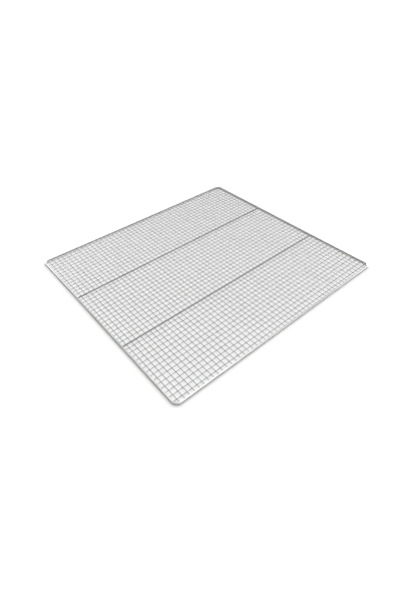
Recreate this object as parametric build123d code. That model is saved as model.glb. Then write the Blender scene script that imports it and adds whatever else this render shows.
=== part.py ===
# Wire rack: a flat grid of drawn wire welded inside a bent rod frame and carried on two bars.
# Millimetres. Origin at the middle of the rack, on the surface it lies on, with +Z up.
# +X runs along the support bars, and -Y is the front edge.
import os
from math import sqrt

from build123d import *

# Frame: one round rod, bent at four corners and closed by a butt weld
rack_length = 662.0
rack_width = 586.0
frame_rod_d = 5.0
corner_bend_r = 14.0

# Wire grid: cross wires lie over the bars, and long wires hang under the cross wires.
# Wires are counted in steps each way from the middle of the rack.
# An edge gap runs from the frame rod to the middle of the last wire beside it.
wire_d = 1.4
cross_steps = 25
cross_edge_gap = 8.5
long_steps = 22
long_edge_gap = 8.6

# Support bars: one each side of the middle, in the place of the long wire at this step
support_bar_d = 3.5
bar_steps = 8

# Left between welded neighbours, where the real metal has flowed together
weld_gap = 0.05

# The frame's centre line, the spacing of the wires, and the height of each layer
frame_length = rack_length - frame_rod_d
frame_width = rack_width - frame_rod_d
cross_pitch = (frame_length / 2 - frame_rod_d / 2 - cross_edge_gap) / cross_steps
long_pitch = (frame_width / 2 - frame_rod_d / 2 - long_edge_gap) / long_steps
frame_z = frame_rod_d / 2
bar_z = support_bar_d / 2
cross_z = support_bar_d + weld_gap + wire_d / 2
long_z = cross_z - wire_d - weld_gap


def bent_ring(section_r):
    """A round section swept once round the frame's centre line."""
    path = Pos(0, 0, frame_z) * RectangleRounded(frame_length, frame_width, corner_bend_r).wire()
    section = Plane(path @ 0, z_dir=path % 0) * Circle(section_r)
    return sweep(section, path=path)


def support_bar(step):
    """A bar across the frame, both ends coped to the round of the frame rod."""
    blank = Cylinder(support_bar_d / 2, frame_length, rotation=(0, 90, 0))
    frame_clearance = bent_ring(frame_rod_d / 2 + weld_gap)
    bar = Pos(0, step * long_pitch, bar_z) * blank - frame_clearance
    return bar.solids().sort_by(SortBy.VOLUME)[-1]


def wire_length(run_size, side_size, offset, z):
    """Length of a square-cut wire that stops at the frame rod, also where the rod bends round a corner.

    run_size and side_size are the frame's centre-line sizes along and across the wire.
    """
    lift = max(abs(z - frame_z) - wire_d / 2, 0)
    rod_reach = sqrt(max((frame_rod_d / 2 + weld_gap) ** 2 - lift**2, 0))
    into_bend = max(abs(offset) + wire_d / 2 - side_size / 2 + corner_bend_r, 0)
    bend_reach = sqrt((corner_bend_r - rod_reach) ** 2 - into_bend**2)
    return run_size - 2 * corner_bend_r + 2 * bend_reach


def wire_blank(plane, length):
    """A straight wire through the plane's origin: sixteen flats for its round keep the grid light."""
    return extrude(plane * RegularPolygon(wire_d / 2, 16), length / 2, both=True)


def cross_wire(step):
    x = step * cross_pitch
    length = wire_length(frame_width, frame_length, x, cross_z)
    return Pos(x, 0, cross_z) * wire_blank(Plane.XZ, length)


def long_wire(step):
    y = step * long_pitch
    length = wire_length(frame_length, frame_width, y, long_z)
    return Pos(0, y, long_z) * wire_blank(Plane.YZ, length)


def long_wire_bay(first_step, last_step):
    """The long wires of one bay, between two bars or between a bar and the frame."""
    return Compound(children=[long_wire(step) for step in range(first_step, last_step + 1)])


nodes = {
    "frame_rod": bent_ring(frame_rod_d / 2),
    "front_support_bar": support_bar(-bar_steps),
    "rear_support_bar": support_bar(bar_steps),
    "front_long_wires": long_wire_bay(-long_steps, -bar_steps - 1),
    "middle_long_wires": long_wire_bay(1 - bar_steps, bar_steps - 1),
    "rear_long_wires": long_wire_bay(bar_steps + 1, long_steps),
}
for number, step in enumerate(range(-cross_steps, cross_steps + 1), start=1):
    nodes[f"cross_wire_{number:02d}"] = cross_wire(step)

os.makedirs("parts", exist_ok=True)
for name, shape in nodes.items():
    export_step(shape, f"parts/{name}.step")
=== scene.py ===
# Wire rack dressed for rendering: bent rod frame, two bars and a welded grid of drawn wire.
# Metres, in the CAD model's frame: +X runs along the bars, -Y is the front edge, +Z is up.
import math

import bmesh
import bpy
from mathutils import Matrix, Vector


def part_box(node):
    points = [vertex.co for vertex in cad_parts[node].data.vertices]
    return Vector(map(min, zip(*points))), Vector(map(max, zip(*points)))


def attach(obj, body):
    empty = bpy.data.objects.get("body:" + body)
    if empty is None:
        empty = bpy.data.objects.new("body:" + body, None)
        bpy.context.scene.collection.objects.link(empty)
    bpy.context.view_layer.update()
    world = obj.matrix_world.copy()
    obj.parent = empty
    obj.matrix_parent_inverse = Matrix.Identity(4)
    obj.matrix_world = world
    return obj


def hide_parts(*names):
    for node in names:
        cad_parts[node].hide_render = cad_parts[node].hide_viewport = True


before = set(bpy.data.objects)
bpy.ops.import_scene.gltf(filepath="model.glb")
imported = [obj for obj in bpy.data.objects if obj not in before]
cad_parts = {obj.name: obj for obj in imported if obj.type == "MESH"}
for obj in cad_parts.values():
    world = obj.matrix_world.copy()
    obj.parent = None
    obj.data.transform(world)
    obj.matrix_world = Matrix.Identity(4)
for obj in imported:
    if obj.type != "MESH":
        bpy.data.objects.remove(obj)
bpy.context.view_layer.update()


# Frame: one length of round steel rod, bent to four corners and closed by a butt weld ground flush.
# It is plated bright, with all that is welded to it, and holds the ends of every bar and wire. The bars,
# wires and welds share its plating but are given darker colours: painted shade.
rod_low, rod_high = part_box("frame_rod")
rod_diameter = rod_high.z - rod_low.z
rod_height = (rod_low.z + rod_high.z) / 2
frame_length = rod_high.x - rod_low.x - rod_diameter
frame_width = rod_high.y - rod_low.y - rod_diameter
corner_bend_radius = 0.014
bend_points = 28
rod_sides = 40
rod_colour = (0.62, 0.62, 0.615)


def feed(tree, socket, value):
    """Give a socket its value, by a link where the value comes from another node."""
    if isinstance(value, bpy.types.NodeSocket):
        tree.links.new(value, socket)
    else:
        socket.default_value = value


def add_node(tree, kind, settings=None, **inputs):
    """A node of this kind with its settings; each input goes to the socket of that name."""
    node = tree.nodes.new(kind)
    for name, value in (settings or {}).items():
        setattr(node, name, value)
    for name, value in inputs.items():
        feed(tree, node.inputs[name.replace("_", " ")], value)
    return node


def calculate(tree, operation, *values, kind="ShaderNodeMath"):
    """A sum on these values, which go to its sockets in their order."""
    node = add_node(tree, kind, {"operation": operation})
    for socket, value in zip(node.inputs, values):
        feed(tree, socket, value)
    return node


def size_tree(name, sizes):
    """An empty geometry tree whose named inputs are the sizes of the piece that it grows."""
    tree = bpy.data.node_groups.new(name, "GeometryNodeTree")
    tree.interface.new_socket("Geometry", in_out="OUTPUT", socket_type="NodeSocketGeometry")
    for label, kind in sizes.items():
        tree.interface.new_socket(label, in_out="INPUT", socket_type="NodeSocket" + kind)
    return tree, tree.nodes.new("NodeGroupInput").outputs


def end_tree(tree, geometry, material):
    """Make the result real, smooth and covered in its finish, and hand it out of the tree."""
    real = add_node(tree, "GeometryNodeRealizeInstances", Geometry=geometry)
    smooth = add_node(tree, "GeometryNodeSetShadeSmooth", Geometry=real.outputs[0])
    covered = add_node(tree, "GeometryNodeSetMaterial", Geometry=smooth.outputs[0], Material=material)
    tree.links.new(covered.outputs[0], tree.nodes.new("NodeGroupOutput").inputs[0])


def grow(name, tree, **values):
    """Run a tree with these sizes and keep what it makes as a plain mesh object at the origin."""
    piece = bpy.data.objects.new(name, bpy.data.meshes.new(name + "_seed"))
    bpy.context.scene.collection.objects.link(piece)
    modifier = piece.modifiers.new("grow", "NODES")
    modifier.node_group = tree
    for item in tree.interface.items_tree:
        if item.in_out == "INPUT":
            modifier[item.identifier] = values[item.name.replace(" ", "_")]
    evaluated = piece.evaluated_get(bpy.context.evaluated_depsgraph_get())
    mesh = bpy.data.meshes.new_from_object(evaluated)
    piece.modifiers.clear()
    piece.data = mesh
    mesh.name = name
    return piece


def plated_steel(name, colour, streaks, roughness):
    """Bright plating over drawn steel: fine lines along the draw, soft clouding and small dull specks."""
    material = bpy.data.materials.new(name)
    material.use_nodes = True
    tree = material.node_tree
    shader = tree.nodes["Principled BSDF"]
    shader.inputs["Metallic"].default_value = 1.0
    place = add_node(tree, "ShaderNodeTexCoord").outputs["Object"]

    section = add_node(tree, "ShaderNodeAttribute", {"attribute_name": "section"}).outputs["Vector"]
    run = add_node(tree, "ShaderNodeAttribute", {"attribute_name": "run"}).outputs["Fac"]
    across = add_node(tree, "ShaderNodeSeparateXYZ", Vector=section)
    draw_place = add_node(tree, "ShaderNodeCombineXYZ", X=across.outputs[0], Y=across.outputs[1], Z=run)
    draw_lines = add_node(tree, "ShaderNodeTexNoise", Vector=draw_place.outputs[0], Scale=streaks, Detail=3.0)

    clouds = add_node(tree, "ShaderNodeTexNoise", Vector=place, Scale=38.0, Detail=4.0, Roughness=0.6)
    cloud_dark = [level * 0.9 for level in colour]
    cloud_bright = [min(level * 1.06, 1.0) for level in colour]
    tint = add_node(tree, "ShaderNodeValToRGB", Fac=clouds.outputs["Fac"])
    dark_stop, bright_stop = tint.color_ramp.elements
    dark_stop.position = 0.3
    dark_stop.color = (*cloud_dark, 1.0)
    bright_stop.position = 0.72
    bright_stop.color = (*cloud_bright, 1.0)
    tree.links.new(tint.outputs["Color"], shader.inputs["Base Color"])

    specks = add_node(tree, "ShaderNodeTexNoise", Vector=place, Scale=900.0, Detail=2.0)
    dull = add_node(tree, "ShaderNodeMapRange", Value=specks.outputs["Fac"], From_Min=0.35, From_Max=0.75,
                    To_Min=roughness * 0.8, To_Max=roughness * 1.35)
    tree.links.new(dull.outputs[0], shader.inputs["Roughness"])

    bump = add_node(tree, "ShaderNodeBump", Height=draw_lines.outputs["Fac"], Strength=0.12, Distance=0.0002)
    tree.links.new(bump.outputs["Normal"], shader.inputs["Normal"])
    return material


def round_section(tree, diameter, sides):
    """A round section that remembers its own place, so that drawn lines can follow the piece."""
    radius = calculate(tree, "MULTIPLY", diameter, 0.5)
    circle = add_node(tree, "GeometryNodeCurvePrimitiveCircle", Resolution=sides, Radius=radius.outputs[0])
    spot = add_node(tree, "GeometryNodeInputPosition")
    unit = calculate(tree, "NORMALIZE", spot.outputs[0], kind="ShaderNodeVectorMath")
    return add_node(tree, "GeometryNodeStoreNamedAttribute", {"data_type": "FLOAT_VECTOR"},
                    Geometry=circle.outputs["Curve"], Name="section", Value=unit.outputs[0]).outputs[0]


rod_finish = plated_steel("bright_plated_rod", rod_colour, streaks=6.0, roughness=0.08)

bent_rod, size = size_tree("Bent rod frame", {
    "Length": "Float", "Width": "Float", "Bend radius": "Float", "Rod diameter": "Float",
    "Rod height": "Float", "Finish": "Material"})
outline = add_node(bent_rod, "GeometryNodeCurvePrimitiveQuadrilateral",
                   Width=size["Length"], Height=size["Width"])
bends = add_node(bent_rod, "GeometryNodeFilletCurve", {"mode": "POLY"},
                 Curve=outline.outputs[0], Count=bend_points, Radius=size["Bend radius"])
measured = add_node(bent_rod, "GeometryNodeStoreNamedAttribute", Geometry=bends.outputs[0], Name="run",
                    Value=add_node(bent_rod, "GeometryNodeSplineParameter").outputs["Length"])
lift = add_node(bent_rod, "ShaderNodeCombineXYZ", Z=size["Rod height"])
raised = add_node(bent_rod, "GeometryNodeSetPosition", Geometry=measured.outputs[0], Offset=lift.outputs[0])
swept = add_node(bent_rod, "GeometryNodeCurveToMesh", Curve=raised.outputs[0],
                 Profile_Curve=round_section(bent_rod, size["Rod diameter"], rod_sides))
end_tree(bent_rod, swept.outputs[0], size["Finish"])

rack_frame = grow("rack_frame", bent_rod, Length=frame_length, Width=frame_width,
                  Bend_radius=corner_bend_radius, Rod_diameter=rod_diameter, Rod_height=rod_height,
                  Finish=rod_finish)
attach(rack_frame, "root")
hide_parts("frame_rod")


# Support bars: two straight lengths of lighter rod that run across the frame under the cross wires.
# Their ends are coped to the round of the frame rod and welded all round, with a small lumpy fillet.
bar_nodes = ("front_support_bar", "rear_support_bar")
bar_sides = 28
bar_spans = 24
# Painted shade: the bars share the rod's plating but get a darker colour, for the shade they lie in under the
# cross wires.
bar_shaded_colour = (0.38, 0.38, 0.376)
fillet_leg = 0.0007
fillet_spread = 0.0009
fillet_lumps = 3
lump_share = 0.16
end_turn = 2.1
bar_turn = 40
weld_root = 0.0004
floor_clearance = 0.00002
ring_distances = [0.0, 0.0002, 0.0005, 0.0009, 0.0015, 0.0024, 0.004, 0.008]


def bar_ring(mesh, bar_y, bar_height, bar_radius, end, distance):
    """One ring of a bar, this far from the frame rod, swollen where the weld fillet lies.

    The lumps of the fillet are turned from end to end and from bar to bar, so that no two look alike.
    """
    ring = []
    for side in range(bar_sides):
        angle = 2 * math.pi * side / bar_sides
        lump = 1 + lump_share * math.sin(fillet_lumps * angle + end_turn * end + bar_turn * bar_y)
        radius = bar_radius + fillet_leg * lump * math.exp(-max(distance, 0) / fillet_spread)
        y = bar_y + radius * math.sin(angle)
        z = max(bar_height + radius * math.cos(angle), floor_clearance)
        rod_side = math.sqrt((rod_diameter / 2) ** 2 - (z - rod_height) ** 2)
        x = end * (frame_length / 2 - rod_side - distance)
        ring.append(mesh.verts.new((x, y, z)))
    return ring


def add_support_bar(mesh, node):
    """One bar from weld to weld: close rings at both fillets and even spans between them."""
    low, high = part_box(node)
    bar_y = (low.y + high.y) / 2
    bar_height = (low.z + high.z) / 2
    bar_radius = (high.z - low.z) / 2
    places = [(-1, -weld_root)]
    places += [(-1, distance) for distance in ring_distances]
    places += [(-1, frame_length * (span / bar_spans)) for span in range(1, bar_spans)]
    places += [(1, distance) for distance in reversed(ring_distances)]
    places.append((1, -weld_root))
    rings = [bar_ring(mesh, bar_y, bar_height, bar_radius, end, distance) for end, distance in places]
    for first, second in zip(rings, rings[1:]):
        for side in range(bar_sides):
            after = (side + 1) % bar_sides
            mesh.faces.new((first[side], first[after], second[after], second[side]))
    mesh.faces.new(rings[0])
    mesh.faces.new(rings[-1])


bar_build = bmesh.new()
for bar_node in bar_nodes:
    add_support_bar(bar_build, bar_node)
bmesh.ops.recalc_face_normals(bar_build, faces=bar_build.faces)
for face in bar_build.faces:
    face.smooth = len(face.verts) == 4
bar_mesh = bpy.data.meshes.new("support_bars")
bar_build.to_mesh(bar_mesh)
bar_build.free()
support_bars = bpy.data.objects.new("support_bars", bar_mesh)
bpy.context.scene.collection.objects.link(support_bars)
bar_finish = plated_steel("plated_bar", bar_shaded_colour, streaks=6.0, roughness=0.2)
bar_mesh.materials.append(bar_finish)
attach(support_bars, "root")
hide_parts(*bar_nodes)


# Long wires: thin drawn wire that runs the length of the rack, hung under the cross wires.
# Each end is cut square and welded to the inner side of the frame rod. Two rows are left to the bars.
long_nodes = ("front_long_wires", "middle_long_wires", "rear_long_wires")
front_low, front_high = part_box("front_long_wires")
rear_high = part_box("rear_long_wires")[1]
wire_diameter = front_high.z - front_low.z
wire_sides = 12
wire_points = 72
wire_bite = 0.0003
wire_wander = 0.0005
sway_grain = (9.0, 700.0, 1.0)
sway_middle = (0.5, 0.5, 0.5)
sway_ways = (0.0, 1.0, 0.2)
long_height = (front_low.z + front_high.z) / 2
long_reach = rear_high.y - front_low.y - wire_diameter
long_rows = 45
bar_step = 8
no_bars = -1
# Painted shade: the wire shares the rod's plating but gets a much darker colour, for its dark flanks and the
# shade in the grid.
wire_shaded_colour = (0.36, 0.36, 0.357)
wire_finish = plated_steel("plated_drawn_wire", wire_shaded_colour, streaks=5.0, roughness=0.24)

wire_layer, size = size_tree("Layer of straight wires", {
    "Wires": "Int", "Reach": "Float", "Wire length": "Float", "Wire diameter": "Float", "Height": "Float",
    "Turn": "Float", "Bar step": "Int", "Wander": "Float", "Finish": "Material"})
gaps = calculate(wire_layer, "SUBTRACT", size["Wires"], 1.0)
pitch = calculate(wire_layer, "DIVIDE", size["Reach"], gaps.outputs[0])
first_row = calculate(wire_layer, "MULTIPLY", size["Reach"], -0.5)
start = add_node(wire_layer, "ShaderNodeCombineXYZ", Y=first_row.outputs[0])
stride = add_node(wire_layer, "ShaderNodeCombineXYZ", Y=pitch.outputs[0])
rows = add_node(wire_layer, "GeometryNodeMeshLine", Count=size["Wires"],
                Start_Location=start.outputs[0], Offset=stride.outputs[0])

row_number = add_node(wire_layer, "GeometryNodeInputIndex")
middle_row = calculate(wire_layer, "MULTIPLY", gaps.outputs[0], 0.5)
from_middle = calculate(wire_layer, "SUBTRACT", row_number.outputs[0], middle_row.outputs[0])
step_out = calculate(wire_layer, "ABSOLUTE", from_middle.outputs[0])
at_bar = calculate(wire_layer, "COMPARE", step_out.outputs[0], size["Bar step"], 0.1)
kept_rows = add_node(wire_layer, "GeometryNodeDeleteGeometry", Geometry=rows.outputs[0],
                     Selection=at_bar.outputs[0])

right_cut = calculate(wire_layer, "MULTIPLY", size["Wire length"], 0.5)
left_cut = calculate(wire_layer, "MULTIPLY", size["Wire length"], -0.5)
one_wire = add_node(wire_layer, "GeometryNodeCurvePrimitiveLine",
                    Start=add_node(wire_layer, "ShaderNodeCombineXYZ", X=left_cut.outputs[0]).outputs[0],
                    End=add_node(wire_layer, "ShaderNodeCombineXYZ", X=right_cut.outputs[0]).outputs[0])
fine_wire = add_node(wire_layer, "GeometryNodeResampleCurve", Curve=one_wire.outputs[0], Count=wire_points)
laid = add_node(wire_layer, "GeometryNodeInstanceOnPoints", Points=kept_rows.outputs[0],
                Instance=fine_wire.outputs[0])
loose = add_node(wire_layer, "GeometryNodeRealizeInstances", Geometry=laid.outputs[0])

spot = add_node(wire_layer, "GeometryNodeInputPosition")
own_line = calculate(wire_layer, "MULTIPLY", spot.outputs[0], sway_grain, kind="ShaderNodeVectorMath")
sway = add_node(wire_layer, "ShaderNodeTexNoise", Vector=own_line.outputs[0], Scale=1.0, Detail=1.0)
centred = calculate(wire_layer, "SUBTRACT", sway.outputs["Color"], sway_middle, kind="ShaderNodeVectorMath")
sideways = calculate(wire_layer, "MULTIPLY", centred.outputs[0], sway_ways, kind="ShaderNodeVectorMath")
shift = add_node(wire_layer, "ShaderNodeVectorMath", {"operation": "SCALE"},
                 Vector=sideways.outputs[0], Scale=size["Wander"])
swayed = add_node(wire_layer, "GeometryNodeSetPosition", Geometry=loose.outputs[0], Offset=shift.outputs[0])
measured = add_node(wire_layer, "GeometryNodeStoreNamedAttribute", Geometry=swayed.outputs[0], Name="run",
                    Value=add_node(wire_layer, "GeometryNodeSplineParameter").outputs["Length"])
placed = add_node(wire_layer, "GeometryNodeTransform", Geometry=measured.outputs[0],
                  Translation=add_node(wire_layer, "ShaderNodeCombineXYZ", Z=size["Height"]).outputs[0],
                  Rotation=add_node(wire_layer, "ShaderNodeCombineXYZ", Z=size["Turn"]).outputs[0])
drawn = add_node(wire_layer, "GeometryNodeCurveToMesh", Curve=placed.outputs[0], Fill_Caps=True,
                 Profile_Curve=round_section(wire_layer, size["Wire diameter"], wire_sides))
end_tree(wire_layer, drawn.outputs[0], size["Finish"])

long_wires = grow("long_wires", wire_layer, Wires=long_rows, Reach=long_reach,
                  Wire_length=front_high.x - front_low.x + 2 * wire_bite, Wire_diameter=wire_diameter,
                  Height=long_height, Turn=0.0, Bar_step=bar_step, Wander=wire_wander, Finish=wire_finish)
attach(long_wires, "root")
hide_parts(*long_nodes)


# Cross wires: the same drawn wire, laid over the bars and the long wires to make the top of the grid.
# They are spot-welded at every crossing, and their ends are welded high on the inside of the frame rod.
cross_nodes = sorted(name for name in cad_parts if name.startswith("cross_wire_"))
first_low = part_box(cross_nodes[0])[0]
last_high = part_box(cross_nodes[-1])[1]
middle_low, middle_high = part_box(cross_nodes[len(cross_nodes) // 2])
cross_height = (middle_low.z + middle_high.z) / 2
cross_reach = last_high.x - first_low.x - wire_diameter
cross_wires = grow("cross_wires", wire_layer, Wires=len(cross_nodes), Reach=cross_reach,
                   Wire_length=middle_high.y - middle_low.y + 2 * wire_bite, Wire_diameter=wire_diameter,
                   Height=cross_height, Turn=math.pi / 2, Bar_step=no_bars, Wander=wire_wander,
                   Finish=wire_finish)
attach(cross_wires, "root")
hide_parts(*cross_nodes)


# Crossing welds: a small flat nugget of steel squeezed out where each cross wire is spot-welded
# to the wire or bar under it. They are plated over with the rest, a little duller than the wire, and their
# colour is darker than the rod's: painted shade, as on the wire, with a little more for weld discolouration.
nugget_width = 0.002
nugget_thickness = 0.0008
least_share = (0.86, 0.86, 0.8)
most_share = (1.14, 1.14, 1.2)
contact_height = cross_height - wire_diameter / 2
# Painted shade with weld discolouration: the wire's darkened colour, a little darker still.
weld_shaded_colour = (0.32, 0.32, 0.316)
weld_finish = plated_steel("plated_weld", weld_shaded_colour, streaks=3.0, roughness=0.34)

nuggets, size = size_tree("Grid of weld beads", {
    "Reach X": "Float", "Reach Y": "Float", "Wires X": "Int", "Wires Y": "Int", "Height": "Float",
    "Width": "Float", "Thickness": "Float", "Seed": "Int", "Finish": "Material"})
crossings = add_node(nuggets, "GeometryNodeMeshGrid", Size_X=size["Reach X"], Size_Y=size["Reach Y"],
                     Vertices_X=size["Wires X"], Vertices_Y=size["Wires Y"])
lift = add_node(nuggets, "ShaderNodeCombineXYZ", Z=size["Height"])
contacts = add_node(nuggets, "GeometryNodeSetPosition", Geometry=crossings.outputs[0], Offset=lift.outputs[0])
ball = add_node(nuggets, "GeometryNodeMeshUVSphere", Segments=8, Rings=4, Radius=0.5)
flat = add_node(nuggets, "ShaderNodeCombineXYZ", X=size["Width"], Y=size["Width"], Z=size["Thickness"])
uneven = add_node(nuggets, "FunctionNodeRandomValue", {"data_type": "FLOAT_VECTOR"}, Seed=size["Seed"])
uneven.inputs[0].default_value = least_share
uneven.inputs[1].default_value = most_share
each_size = calculate(nuggets, "MULTIPLY", flat.outputs[0], uneven.outputs[0], kind="ShaderNodeVectorMath")
set_down = add_node(nuggets, "GeometryNodeInstanceOnPoints", Points=contacts.outputs[0],
                    Instance=ball.outputs[0], Scale=each_size.outputs[0])
end_tree(nuggets, set_down.outputs[0], size["Finish"])

crossing_welds = grow("crossing_welds", nuggets, Reach_X=cross_reach, Reach_Y=long_reach,
                      Wires_X=len(cross_nodes), Wires_Y=long_rows, Height=contact_height,
                      Width=nugget_width, Thickness=nugget_thickness, Seed=7, Finish=weld_finish)
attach(crossing_welds, "root")


# End welds: a low bead where the cut end of each wire is fused to the inner side of the frame rod.
# They come from the same tree, as two long rows for each layer of wire, and are a little wider.
bead_width = 0.0024
bead_thickness = 0.0012
long_end_welds = grow("long_end_welds", nuggets, Reach_X=front_high.x - front_low.x, Reach_Y=long_reach,
                      Wires_X=2, Wires_Y=long_rows, Height=long_height,
                      Width=bead_width, Thickness=bead_thickness, Seed=11, Finish=weld_finish)
cross_end_welds = grow("cross_end_welds", nuggets, Reach_X=cross_reach, Reach_Y=middle_high.y - middle_low.y,
                       Wires_X=len(cross_nodes), Wires_Y=2, Height=cross_height,
                       Width=bead_width, Thickness=bead_thickness, Seed=12, Finish=weld_finish)
for end_welds in (long_end_welds, cross_end_welds):
    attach(end_welds, "root")


# Floor: a plain matt white surface, wide enough to fill the picture from every side.
# The rack lies flat on it, on its frame rod and its bars.
floor_reach = 30
floor_white = (0.92, 0.92, 0.92, 1.0)
floor_corners = [(-floor_reach, -floor_reach, 0), (floor_reach, -floor_reach, 0),
                 (floor_reach, floor_reach, 0), (-floor_reach, floor_reach, 0)]
floor_mesh = bpy.data.meshes.new("floor")
floor_mesh.from_pydata(floor_corners, [], [(0, 1, 2, 3)])
floor = bpy.data.objects.new("floor", floor_mesh)
bpy.context.scene.collection.objects.link(floor)
floor_paint = bpy.data.materials.new("white_floor")
floor_paint.use_nodes = True
floor_shader = floor_paint.node_tree.nodes["Principled BSDF"]
floor_shader.inputs["Base Color"].default_value = floor_white
floor_shader.inputs["Roughness"].default_value = 1.0
floor_shader.inputs["Specular IOR Level"].default_value = 0.0
floor_mesh.materials.append(floor_paint)


# Backdrop: a plain white wall that stands all round, far out on the floor, so that every side of the
# rack is seen against white. It takes no part in the lighting and keeps nothing of the room's light back.
wall_radius = 28.0
wall_height = 40.0
wall_panels = 48
wall_glow = 1.1
wall_points = []
wall_faces = []
for panel in range(wall_panels):
    angle = 2 * math.pi * panel / wall_panels
    wall_points.append((wall_radius * math.cos(angle), wall_radius * math.sin(angle), 0.0))
    wall_points.append((wall_radius * math.cos(angle), wall_radius * math.sin(angle), wall_height))
    after = (panel + 1) % wall_panels
    wall_faces.append((2 * panel, 2 * panel + 1, 2 * after + 1, 2 * after))
wall_mesh = bpy.data.meshes.new("backdrop")
wall_mesh.from_pydata(wall_points, [], wall_faces)
backdrop = bpy.data.objects.new("backdrop", wall_mesh)
bpy.context.scene.collection.objects.link(backdrop)
backdrop.visible_diffuse = False
backdrop.visible_glossy = False
backdrop.visible_transmission = False
backdrop.visible_shadow = False
wall_paint = bpy.data.materials.new("white_backdrop")
wall_paint.use_nodes = True
wall_paint.cycles.emission_sampling = "NONE"
wall_shader = wall_paint.node_tree.nodes["Principled BSDF"]
wall_shader.inputs["Base Color"].default_value = (0.0, 0.0, 0.0, 1.0)
wall_shader.inputs["Specular IOR Level"].default_value = 0.0
wall_shader.inputs["Emission Color"].default_value = (1.0, 1.0, 1.0, 1.0)
wall_shader.inputs["Emission Strength"].default_value = wall_glow
wall_mesh.materials.append(wall_paint)


# Room light: bright overhead and dim low down, which draws the dark line along every rod, with two
# wide softboxes low on the right and behind. Each softbox is a direction and a brightness.
overhead_way = (0.30, 0.10, 0.95)
dim_level = 0.04
bright_level = 1.51
softboxes = (((0.95, 0.05, 0.22), 4.5), ((0.15, 0.93, 0.22), 4.1))
softbox_edge = 0.84
studio = bpy.data.worlds.new("studio")
studio.use_nodes = True
bpy.context.scene.world = studio
sky = studio.node_tree
direction = add_node(sky, "ShaderNodeTexCoord").outputs["Generated"]
overhead = calculate(sky, "DOT_PRODUCT", direction, overhead_way, kind="ShaderNodeVectorMath")
dome = add_node(sky, "ShaderNodeMapRange", Value=overhead.outputs["Value"], From_Min=0.25, From_Max=0.95,
                To_Min=dim_level, To_Max=bright_level)
brightness = dome.outputs[0]
for toward, level in softboxes:
    softbox_way = Vector(toward).normalized()
    facing = calculate(sky, "DOT_PRODUCT", direction, softbox_way, kind="ShaderNodeVectorMath")
    softbox = add_node(sky, "ShaderNodeMapRange", {"interpolation_type": "SMOOTHSTEP"},
                       Value=facing.outputs["Value"], From_Min=softbox_edge, From_Max=1.0,
                       To_Min=0.0, To_Max=level)
    brightness = calculate(sky, "ADD", brightness, softbox.outputs[0]).outputs[0]
sky.nodes["Background"].inputs["Color"].default_value = (1.0, 1.0, 1.0, 1.0)
sky.links.new(brightness, sky.nodes["Background"].inputs["Strength"])

bpy.context.scene.view_settings.view_transform = "Standard"
bpy.context.scene.view_settings.look = "None"


# Camera: a wide lens close over the front left corner, framed a little off the lens axis.
# Its place comes from the four corners of the frame as the picture shows them.
camera_lens = bpy.data.cameras.new("camera")
camera_lens.sensor_fit = "AUTO"
camera_lens.sensor_width = 36.0
camera_lens.lens = 22.9907
camera_lens.shift_x = 0.04081
camera_lens.clip_start = 0.02
camera_lens.clip_end = 100.0
camera = bpy.data.objects.new("camera", camera_lens)
camera.location = (-0.55756, -0.60179, 0.64841)
camera.rotation_euler = (0.807662, 0.02496, -0.676919)
bpy.context.scene.collection.objects.link(camera)
bpy.context.scene.camera = camera
